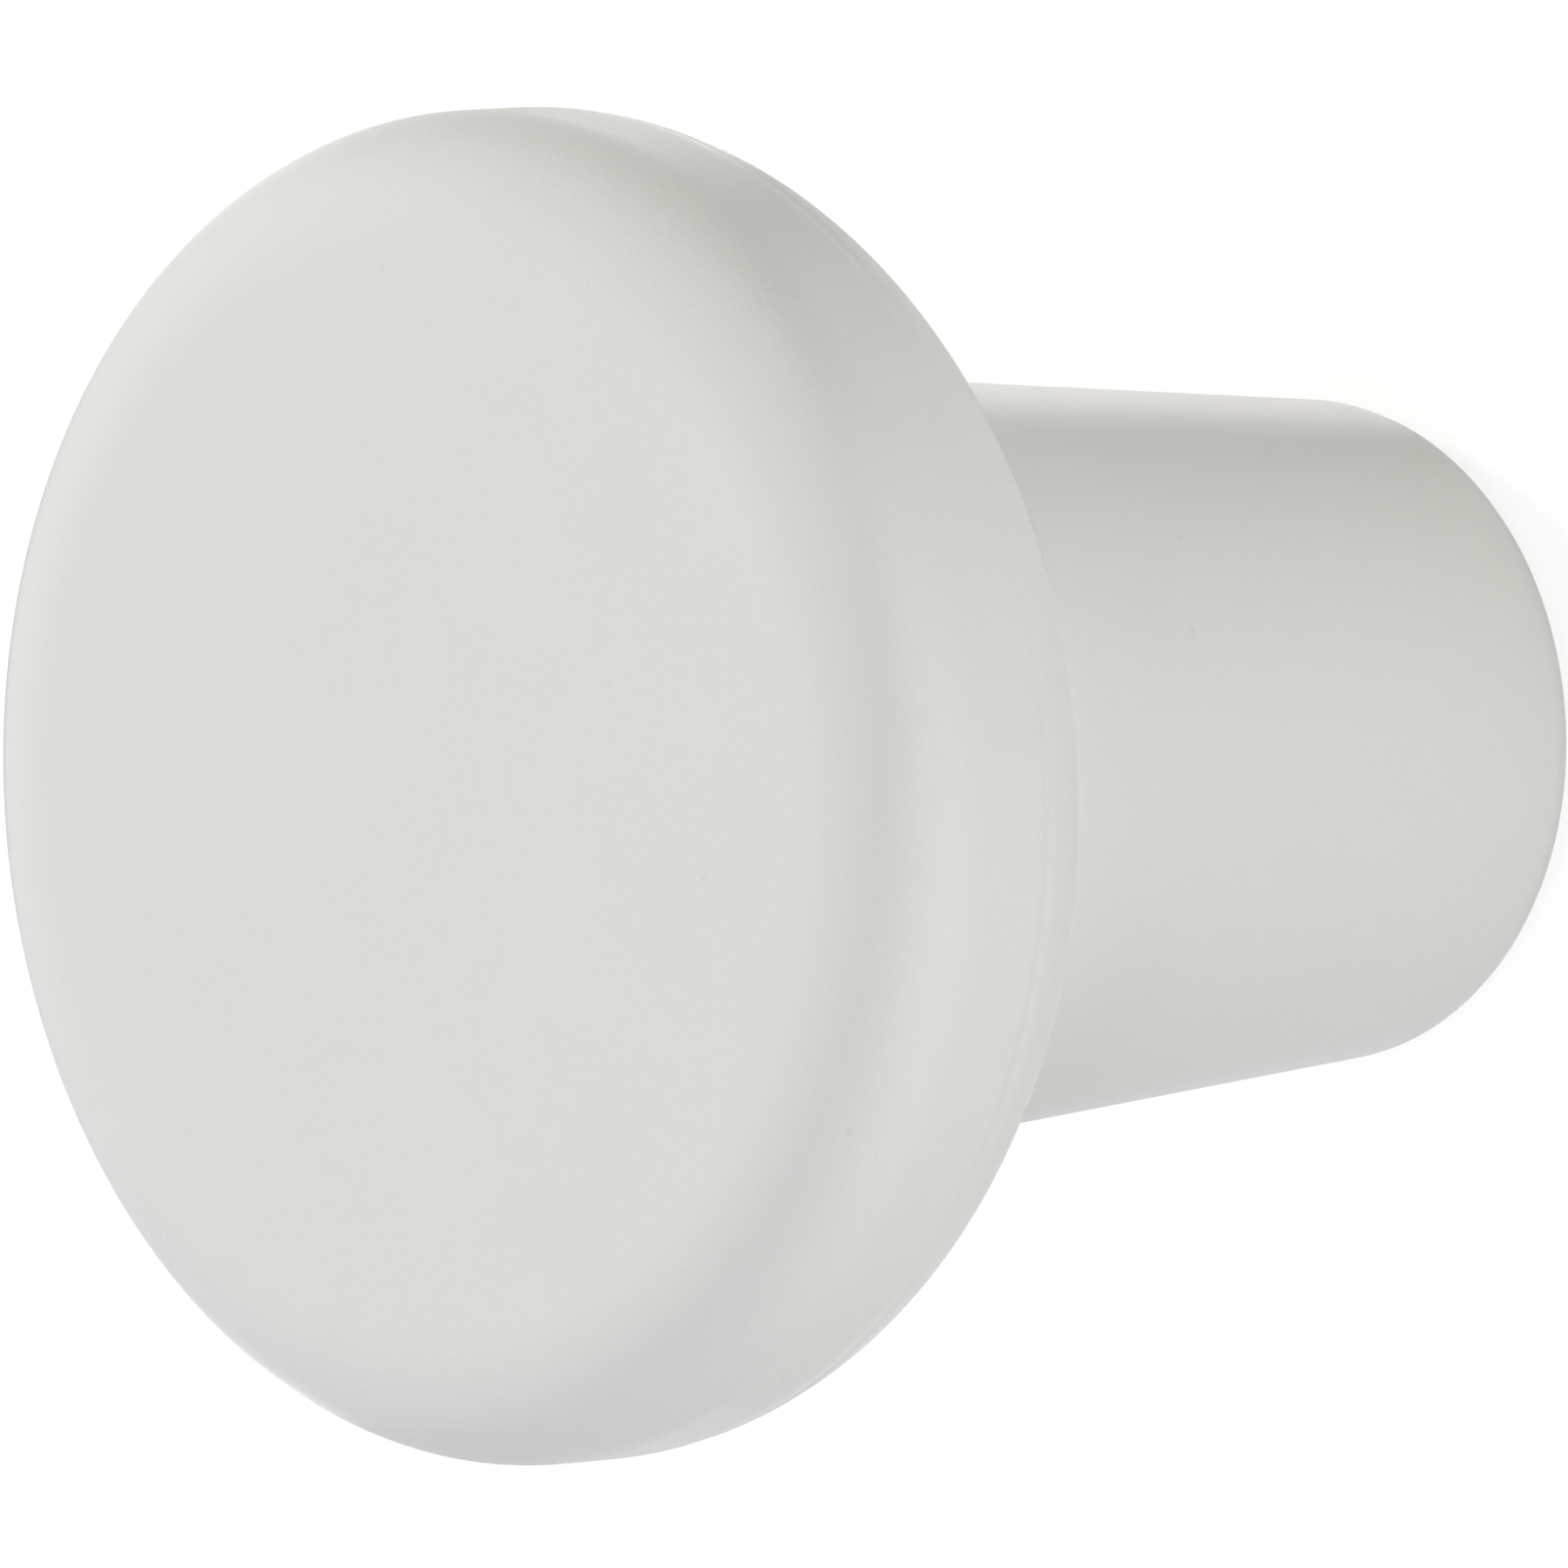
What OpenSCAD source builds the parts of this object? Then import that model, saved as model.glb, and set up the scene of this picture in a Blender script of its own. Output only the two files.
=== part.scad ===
// Silicone bottle stopper: a flat round head on a tapered plug, moulded in one piece.
// It stands on the end of its plug with the head up. The origin is the centre of that end, +Z up the axis.

/* [Head] */
// Diameter of the head
head_d = 34; // [30:0.5:44]
// Thickness of the head
head_t = 8.6; // [7.5:0.1:14]
// Radius of the gentle shoulder where the top face starts to round over
shoulder_r = 4.2; // [3.5:0.1:10]
// Slope in degrees at which the shoulder hands over to the tighter edge
shoulder_slope = 35; // [5:1:50]
// Radius of the head's upper edge
edge_r = 2.4; // [1.5:0.1:3.1]
// Radius of the head's lower edge
lower_edge_r = 4.2; // [1:0.1:5]

/* [Plug] */
// Length of the plug, from its end to the underside of the head
plug_l = 24.7; // [15:0.1:40]
// Diameter of the plug where its side would meet the head
plug_root_d = 20.6; // [19:0.2:24]
// Diameter of the plug's end, before its edge is rounded
plug_end_d = 16.8; // [14:0.1:18.6]
// Radius of the edge round the plug's end
plug_edge_r = 1.4; // [0.2:0.1:3]
// Radius of the inside corner between the plug and the head
root_r = 0.9; // [0.3:0.1:2]

/* [Moulding line] */
// How far below the start of the lower edge the moulding line runs round the head
seam_drop = 0.7; // [0:0.1:0.9]
// Width of the fine groove that the joint of the mould leaves there
seam_w = 0.5; // [0.3:0.05:0.8]
// Depth of that groove
seam_depth = 0.03; // [0.02:0.01:0.1]

/* [Hidden] */
$fn = 180;
silicone_white = [0.94, 0.94, 0.93];

head_r = head_d / 2;
total_h = plug_l + head_t;
ledge = head_r - plug_root_d / 2;

// The shoulder leaves the flat level, and hands over to the edge where both lean by the same slope.
edge_x = head_r - edge_r;
flat_r = edge_x - (shoulder_r - edge_r) * sin(shoulder_slope);
shoulder_z = total_h - shoulder_r;
edge_z = shoulder_z + (shoulder_r - edge_r) * cos(shoulder_slope);
flat_end = [flat_r, total_h];
handover = [edge_x + edge_r * sin(shoulder_slope), edge_z + edge_r * cos(shoulder_slope)];

// The lower edge keeps to the side of the head and to the outer part of the ledge under it.
lower_r = min(lower_edge_r, edge_z - plug_l, ledge * 0.65);
lower_x = head_r - lower_r;
lower_z = plug_l + lower_r;

// The side of the plug leans by the taper, and side_x gives its radius at a height.
taper = atan((plug_root_d - plug_end_d) / 2 / plug_l);
function side_x(z) = plug_end_d / 2 + z * tan(taper);
plug_edge_x = side_x(plug_edge_r) - plug_edge_r / cos(taper);
plug_edge_top = [plug_edge_x + plug_edge_r * cos(taper), plug_edge_r * (1 - sin(taper))];

// The inside corner keeps to the inner part of the ledge.
corner_r = min(root_r, ledge * 0.25);
corner_z = plug_l - corner_r;
corner_x = side_x(corner_z) + corner_r / cos(taper);
corner_low = [corner_x - corner_r * cos(taper), corner_z + corner_r * sin(taper)];

// A circle of this radius, centred outside the lower edge, cuts the groove's width and depth.
seam_r = (pow(seam_w / 2, 2) + pow(seam_depth, 2)) / (2 * seam_depth);
seam_lean = asin(min(seam_drop / lower_r, 0.5));
seam_reach = lower_r + seam_r - seam_depth;
seam_x = lower_x + seam_reach * cos(seam_lean);
seam_z = lower_z - seam_reach * sin(seam_lean);

module disc_at(x, z, r) {
    translate([x, z]) circle(r = r);
}

// Half of the section through the axis, with a straight chord at each rounded place.
module chord_section() {
    polygon([
        [0, 0],
        [plug_edge_x, 0],
        plug_edge_top,
        corner_low,
        [corner_x, plug_l],
        [lower_x, plug_l],
        [head_r, lower_z],
        [head_r, edge_z],
        handover,
        flat_end,
        [0, total_h],
    ]);
}

// What the shoulder's arc adds above the chord between its ends.
module shoulder_bulge() {
    lift = edge_r * [sin(shoulder_slope / 2), cos(shoulder_slope / 2)];
    intersection() {
        disc_at(flat_r, shoulder_z, shoulder_r);
        polygon([flat_end, flat_end + lift, handover + lift, handover]);
    }
}

module section() {
    difference() {
        union() {
            chord_section();
            shoulder_bulge();
            disc_at(edge_x, edge_z, edge_r);
            disc_at(lower_x, lower_z, lower_r);
            disc_at(plug_edge_x, plug_edge_r, plug_edge_r);
        }
        disc_at(corner_x, corner_z, corner_r);
        disc_at(seam_x, seam_z, seam_r);
    }
}

module stopper() {
    color(silicone_white) rotate_extrude() section();
}

stopper();
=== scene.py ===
import math

import bmesh
import bpy
from mathutils import Matrix, Vector


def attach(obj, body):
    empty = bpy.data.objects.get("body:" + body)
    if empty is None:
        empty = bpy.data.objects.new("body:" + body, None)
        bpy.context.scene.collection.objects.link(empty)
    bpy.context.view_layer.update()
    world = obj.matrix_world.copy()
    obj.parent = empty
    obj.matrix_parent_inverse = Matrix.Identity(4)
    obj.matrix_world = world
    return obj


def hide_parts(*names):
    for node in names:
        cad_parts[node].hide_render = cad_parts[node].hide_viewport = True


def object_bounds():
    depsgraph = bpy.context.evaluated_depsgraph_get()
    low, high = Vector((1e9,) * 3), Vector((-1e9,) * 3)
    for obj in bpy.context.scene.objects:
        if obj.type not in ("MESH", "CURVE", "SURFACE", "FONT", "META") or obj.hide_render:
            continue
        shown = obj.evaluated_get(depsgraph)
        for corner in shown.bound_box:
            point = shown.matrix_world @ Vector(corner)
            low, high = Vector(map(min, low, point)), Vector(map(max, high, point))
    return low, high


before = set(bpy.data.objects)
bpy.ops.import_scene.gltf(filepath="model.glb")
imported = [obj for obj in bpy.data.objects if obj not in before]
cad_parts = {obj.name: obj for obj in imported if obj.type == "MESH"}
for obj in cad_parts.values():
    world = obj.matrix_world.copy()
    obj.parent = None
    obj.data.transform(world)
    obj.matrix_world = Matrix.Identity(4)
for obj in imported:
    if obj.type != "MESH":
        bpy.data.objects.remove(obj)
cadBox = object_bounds()
mm = 0.001

print("camera")
# lengths are in millimetres and angles in degrees
# the camera is rolled over, so the stopper lies across the view
camera = {
    "lens": 740.0,
    "elevation": 44.82,
    "roll": -94.1,
    "aim": (-0.41, -6.35, 26.91),
    "distance": 805.4,
    "nearest": 50.0,
    "farthest": 5000.0,
}


def makeCamera():
    elevation = math.radians(camera["elevation"])
    back = Vector((0, -math.cos(elevation), math.sin(elevation)))
    data = bpy.data.cameras.new("camera")
    data.lens = camera["lens"]
    data.clip_start = camera["nearest"] * mm
    data.clip_end = camera["farthest"] * mm
    cam = bpy.data.objects.new("camera", data)
    cam.location = Vector(camera["aim"]) * mm + back * camera["distance"] * mm
    cam.rotation_mode = "QUATERNION"
    turn = (-back).to_track_quat("-Z", "Y")
    roll = Matrix.Rotation(math.radians(camera["roll"]), 4, "Z").to_quaternion()
    cam.rotation_quaternion = turn @ roll
    bpy.context.scene.collection.objects.link(cam)
    bpy.context.scene.camera = cam


makeCamera()

print("stopper mesh")
# the section's sizes in millimetres, as the part is built; the overall sizes come from the frame
stopper = {
    "headThickness": 8.6,
    "shoulderRadius": 4.2,
    "shoulderSlope": 35.0,
    "edgeRadius": 2.4,
    "lowerEdgeRadius": 4.2,
    "plugRootRadius": 10.3,
    "plugEndRadius": 8.4,
    "plugEdgeRadius": 1.4,
    "rootRadius": 0.9,
    "seamDrop": 0.7,
    "seamWidth": 0.5,
    "seamDepth": 0.03,
}

# how many steps each stretch of the section takes, and how many go round the axis
steps = {
    "round": 384,
    "plugEnd": 16,
    "plugEdge": 12,
    "plugSide": 48,
    "rootCorner": 10,
    "ledge": 4,
    "lowerEdge": 30,
    "seam": 8,
    "aboveSeam": 4,
    "headSide": 6,
    "upperEdge": 24,
    "shoulder": 20,
    "headTop": 32,
}


def arc(centre, radius, start, end, count):
    # the points of an arc, both ends among them; angles are in degrees
    points = []
    for i in range(count + 1):
        angle = math.radians(start + (end - start) * i / count)
        points.append((centre[0] + radius * math.cos(angle), centre[1] + radius * math.sin(angle)))
    return points


def line(start, end, count):
    # the points along a straight stretch, without its ends
    points = []
    for i in range(1, count):
        share = i / count
        points.append((start[0] + (end[0] - start[0]) * share, start[1] + (end[1] - start[1]) * share))
    return points


def plugArcs(ledge):
    # the edge round the plug's end and the corner under the head, which both touch the tapered side
    s = stopper
    taper = math.atan((s["plugRootRadius"] - s["plugEndRadius"]) / ledge)
    lean = math.degrees(taper)

    def side(z):
        return s["plugEndRadius"] + z * math.tan(taper)

    edge, corner = s["plugEdgeRadius"], s["rootRadius"]
    edgeX = side(edge) - edge / math.cos(taper)
    cornerZ = ledge - corner
    cornerX = side(cornerZ) + corner / math.cos(taper)
    edgeArc = arc((edgeX, edge), edge, -90, -lean, steps["plugEdge"])
    cornerArc = arc((cornerX, cornerZ), corner, 180 - lean, 90, steps["rootCorner"])
    return edgeArc, cornerArc


def lowerEdge(headR, ledge):
    # the head's lower edge, with the moulding line's shallow groove cut into it
    s = stopper
    radius = s["lowerEdgeRadius"]
    centre = (headR - radius, ledge + radius)
    cutter = ((s["seamWidth"] / 2) ** 2 + s["seamDepth"] ** 2) / (2 * s["seamDepth"])
    reach = radius + cutter - s["seamDepth"]
    lean = math.asin(s["seamDrop"] / radius)
    cutterCentre = (centre[0] + reach * math.cos(lean), centre[1] - reach * math.sin(lean))
    onEdge = math.acos((reach**2 + radius**2 - cutter**2) / (2 * reach * radius))
    onCutter = math.degrees(math.acos((reach**2 + cutter**2 - radius**2) / (2 * reach * cutter)))
    lean, onEdge = math.degrees(lean), math.degrees(onEdge)
    points = arc(centre, radius, -90, -lean - onEdge, steps["lowerEdge"])
    points += arc(cutterCentre, cutter, 180 - lean + onCutter, 180 - lean - onCutter, steps["seam"])[1:-1]
    points += arc(centre, radius, -lean + onEdge, 0, steps["aboveSeam"])
    return points


def upperEdge(headR, top):
    # the head's tight upper edge, and the gentle shoulder it meets where both lean by the same slope
    s = stopper
    edge, shoulder = s["edgeRadius"], s["shoulderRadius"]
    slope = math.radians(s["shoulderSlope"])
    steep = 90 - s["shoulderSlope"]
    edgeX = headR - edge
    edgeZ = top - shoulder + (shoulder - edge) * math.cos(slope)
    flat = edgeX - (shoulder - edge) * math.sin(slope)
    points = arc((edgeX, edgeZ), edge, 0, steep, steps["upperEdge"])
    points += arc((flat, top - shoulder), shoulder, steep, 90, steps["shoulder"])[1:]
    return points


def stopperSection(headR, top):
    # half of the section, from beside the axis at the plug's end to beside it at the head's top
    ledge = top - stopper["headThickness"]
    edgeArc, cornerArc = plugArcs(ledge)
    lower = lowerEdge(headR, ledge)
    upper = upperEdge(headR, top)
    points = line((0, 0), edgeArc[0], steps["plugEnd"])
    points += edgeArc + line(edgeArc[-1], cornerArc[0], steps["plugSide"])
    points += cornerArc + line(cornerArc[-1], lower[0], steps["ledge"])
    points += lower + line(lower[-1], upper[0], steps["headSide"])
    points += upper + line(upper[-1], (0, top), steps["headTop"])
    return points


def makeStopper():
    low, high = cadBox
    headR = (high.x - low.x) / 2 / mm
    top = (high.z - low.z) / mm
    count = steps["round"]
    mesh = bmesh.new()
    rings = []
    for radius, z in stopperSection(headR, top):
        ring = []
        for i in range(count):
            angle = 2 * math.pi * i / count
            place = Vector((radius * math.cos(angle), radius * math.sin(angle), z)) * mm
            ring.append(mesh.verts.new(place))
        rings.append(ring)
    for lower, upper in zip(rings, rings[1:]):
        for i in range(count):
            j = (i + 1) % count
            mesh.faces.new((lower[i], lower[j], upper[j], upper[i]))
    bottom = mesh.verts.new((0, 0, 0))
    middle = mesh.verts.new((0, 0, top * mm))
    for i in range(count):
        j = (i + 1) % count
        mesh.faces.new((bottom, rings[0][j], rings[0][i]))
        mesh.faces.new((middle, rings[-1][i], rings[-1][j]))
    data = bpy.data.meshes.new("stopperBody")
    mesh.to_mesh(data)
    mesh.free()
    data.shade_smooth()
    piece = bpy.data.objects.new("stopperBody", data)
    bpy.context.scene.collection.objects.link(piece)
    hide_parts("stopper")
    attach(piece, "root")
    return piece


body = makeStopper()

print("silicone")
# the matt skin of moulded white silicone; lengths are in millimetres
silicone = {
    "colour": (0.798, 0.80, 0.783),
    "roughness": 0.7,
    "sheen": 1.0,
    "sheenRoughness": 0.3,
    "cloudSize": 3.5,
    "cloudDetail": 3,
    "cloudShade": 0.005,
    "speckSpacing": 4.0,
    "speckSize": 0.16,
    "speckShade": 0.10,
    "grainSize": 0.16,
    "grainDetail": 2,
    "grainHeight": 0.02,
}
noiseReach = 0.25  # how far the noise mostly strays to each side of its middle


def addNode(tree, kind, **settings):
    node = tree.nodes.new(kind)
    for key, value in settings.items():
        setattr(node, key, value)
    return node


def addMath(tree, operation, *values):
    node = addNode(tree, "ShaderNodeMath", operation=operation)
    for socket, value in zip(node.inputs, values):
        if isinstance(value, (int, float)):
            socket.default_value = value
        else:
            tree.links.new(value, socket)
    return node.outputs[0]


def addNoise(tree, place, size, detail):
    noise = addNode(tree, "ShaderNodeTexNoise", noise_dimensions="3D")
    noise.inputs["Scale"].default_value = 1 / (size * mm)
    noise.inputs["Detail"].default_value = detail
    tree.links.new(place, noise.inputs["Vector"])
    return noise.outputs["Fac"]


def clouding(tree, place):
    # soft clouds, a little lighter or darker, where the silicone flowed and cured
    noise = addNoise(tree, place, silicone["cloudSize"], silicone["cloudDetail"])
    swing = silicone["cloudShade"] / noiseReach
    return addMath(tree, "MULTIPLY_ADD", noise, swing, 1 - swing / 2)


def specks(tree, place):
    # the odd speck of dust moulded in: each cell of the pattern holds one at its middle
    cells = addNode(tree, "ShaderNodeTexVoronoi", voronoi_dimensions="3D", feature="F1")
    cells.inputs["Scale"].default_value = 1 / (silicone["speckSpacing"] * mm)
    tree.links.new(place, cells.inputs["Vector"])
    spread = silicone["speckSpacing"] / silicone["speckSize"]
    away = addMath(tree, "MULTIPLY", cells.outputs["Distance"], spread)
    near = addMath(tree, "MAXIMUM", addMath(tree, "SUBTRACT", 1.0, away), 0.0)
    return addMath(tree, "MULTIPLY_ADD", near, -silicone["speckShade"], 1.0)


def mouldGrain(tree, place):
    # the fine grain of the blasted mould, which only shows where light grazes the skin
    bump = addNode(tree, "ShaderNodeBump")
    bump.inputs["Distance"].default_value = silicone["grainHeight"] * mm
    grain = addNoise(tree, place, silicone["grainSize"], silicone["grainDetail"])
    tree.links.new(grain, bump.inputs["Height"])
    return bump.outputs["Normal"]


def makeSilicone():
    material = bpy.data.materials.new("silicone")
    material.use_nodes = True
    tree = material.node_tree
    shader = tree.nodes["Principled BSDF"]
    shader.inputs["Roughness"].default_value = silicone["roughness"]
    shader.inputs["Sheen Weight"].default_value = silicone["sheen"]
    shader.inputs["Sheen Roughness"].default_value = silicone["sheenRoughness"]
    place = addNode(tree, "ShaderNodeTexCoord").outputs["Object"]
    shade = addMath(tree, "MULTIPLY", clouding(tree, place), specks(tree, place))
    colour = addNode(tree, "ShaderNodeVectorMath", operation="SCALE")
    colour.inputs["Vector"].default_value = silicone["colour"]
    tree.links.new(shade, colour.inputs["Scale"])
    tree.links.new(colour.outputs["Vector"], shader.inputs["Base Color"])
    tree.links.new(mouldGrain(tree, place), shader.inputs["Normal"])
    return material


body.data.materials.append(makeSilicone())

print("floor and light")
# looked at, the floor is white but for a trace of its own shading, so the shadow on it stays
# it lies a hair below the plug's end, in millimetres, so that the two never share a plane
floorLook = {
    "halfWidth": 4000.0,
    "drop": 0.01,
    "colour": 0.8,
    "seenColour": 0.25,
    "seenGlow": 0.82,
}
# the world lights nothing by itself, and is white where it is looked at
worldLight = {"level": 0.0, "seen": 1.0}


def seenDirectly(tree):
    # 1 for the rays that look at or mirror the surroundings, 0 for the ones that light the object
    path = addNode(tree, "ShaderNodeLightPath")
    seen = addMath(tree, "MAXIMUM", path.outputs["Is Camera Ray"], path.outputs["Is Glossy Ray"])
    return addMath(tree, "MAXIMUM", seen, path.outputs["Is Transmission Ray"])


def blendValue(tree, factor, first, second):
    return addMath(tree, "MULTIPLY_ADD", factor, second - first, first)


def floorMaterial():
    material = bpy.data.materials.new("floor")
    material.use_nodes = True
    tree = material.node_tree
    tree.nodes.remove(tree.nodes["Principled BSDF"])
    seen = seenDirectly(tree)
    shaded = addNode(tree, "ShaderNodeBsdfDiffuse")
    glow = addNode(tree, "ShaderNodeEmission")
    both = addNode(tree, "ShaderNodeAddShader")
    grey = blendValue(tree, seen, floorLook["colour"], floorLook["seenColour"])
    tree.links.new(grey, shaded.inputs["Color"])
    tree.links.new(addMath(tree, "MULTIPLY", seen, floorLook["seenGlow"]), glow.inputs["Strength"])
    tree.links.new(shaded.outputs[0], both.inputs[0])
    tree.links.new(glow.outputs[0], both.inputs[1])
    tree.links.new(both.outputs[0], tree.nodes["Material Output"].inputs["Surface"])
    return material


def makeFloor():
    data = bpy.data.meshes.new("floor")
    mesh = bmesh.new()
    bmesh.ops.create_grid(mesh, x_segments=1, y_segments=1, size=floorLook["halfWidth"] * mm)
    mesh.to_mesh(data)
    mesh.free()
    floor = bpy.data.objects.new("floor", data)
    floor.location.z = cadBox[0].z - floorLook["drop"] * mm
    bpy.context.scene.collection.objects.link(floor)
    data.materials.append(floorMaterial())


makeFloor()


# soft round lamps all at one distance; azimuth and elevation are in degrees, width in metres, power in watts
lampDistance = 0.8
lampTints = {
    "amber": (1.025, 1.003, 0.97),
    "warm": (1.03, 1.012, 0.93),
    "plain": (1.0, 1.0, 1.0),
    "cool": (0.975, 0.99, 1.037),
}
lamps = {
    "lowBackRight": {"azimuth": 50, "elevation": 3, "width": 0.06, "power": 0.15, "tint": "amber"},
    "backRight": {"azimuth": 54, "elevation": 27, "width": 0.12, "power": 2.76, "tint": "amber"},
    "highBackRight": {"azimuth": 64, "elevation": 40, "width": 0.12, "power": 0.58, "tint": "amber"},
    "back": {"azimuth": 105, "elevation": 25, "width": 0.4, "power": 1.35, "tint": "cool"},
    "lowBackLeft": {"azimuth": 150, "elevation": 15, "width": 0.4, "power": 0.28, "tint": "plain"},
    "frontLeft": {"azimuth": 235, "elevation": 35, "width": 0.12, "power": 0.82, "tint": "cool"},
    "lowFrontLeft": {"azimuth": 240, "elevation": 5, "width": 0.4, "power": 1.38, "tint": "plain"},
    "lowFront": {"azimuth": 270, "elevation": 5, "width": 0.4, "power": 0.15, "tint": "warm"},
    "front": {"azimuth": 285, "elevation": 25, "width": 0.4, "power": 1.69, "tint": "warm"},
    "right": {"azimuth": 0, "elevation": 45, "width": 0.4, "power": 0.32, "tint": "warm"},
    "highLeft": {"azimuth": 180, "elevation": 65, "width": 0.4, "power": 1.24, "tint": "cool"},
    "highFront": {"azimuth": 240, "elevation": 65, "width": 0.4, "power": 0.58, "tint": "plain"},
}


def makeLamp(name, azimuth, elevation, width, power, tint):
    data = bpy.data.lights.new(name, "AREA")
    data.shape = "DISK"
    data.size = width
    data.energy = power
    data.color = lampTints[tint]
    lamp = bpy.data.objects.new(name, data)
    across, up = math.radians(azimuth), math.radians(elevation)
    toward = Vector((math.cos(up) * math.cos(across), math.cos(up) * math.sin(across), math.sin(up)))
    middle = (cadBox[0] + cadBox[1]) / 2
    lamp.location = middle + toward * lampDistance
    lamp.rotation_mode = "QUATERNION"
    lamp.rotation_quaternion = (-toward).to_track_quat("-Z", "Y")
    lamp.visible_camera = False
    bpy.context.scene.collection.objects.link(lamp)


for name, values in lamps.items():
    makeLamp(name, **values)


def makeWorld():
    world = bpy.data.worlds.new("world")
    bpy.context.scene.world = world
    world.use_nodes = True
    tree = world.node_tree
    background = tree.nodes["Background"]
    background.inputs["Color"].default_value = (1, 1, 1, 1)
    level = blendValue(tree, seenDirectly(tree), worldLight["level"], worldLight["seen"])
    tree.links.new(level, background.inputs["Strength"])


makeWorld()

bpy.context.scene.view_settings.view_transform = "Standard"
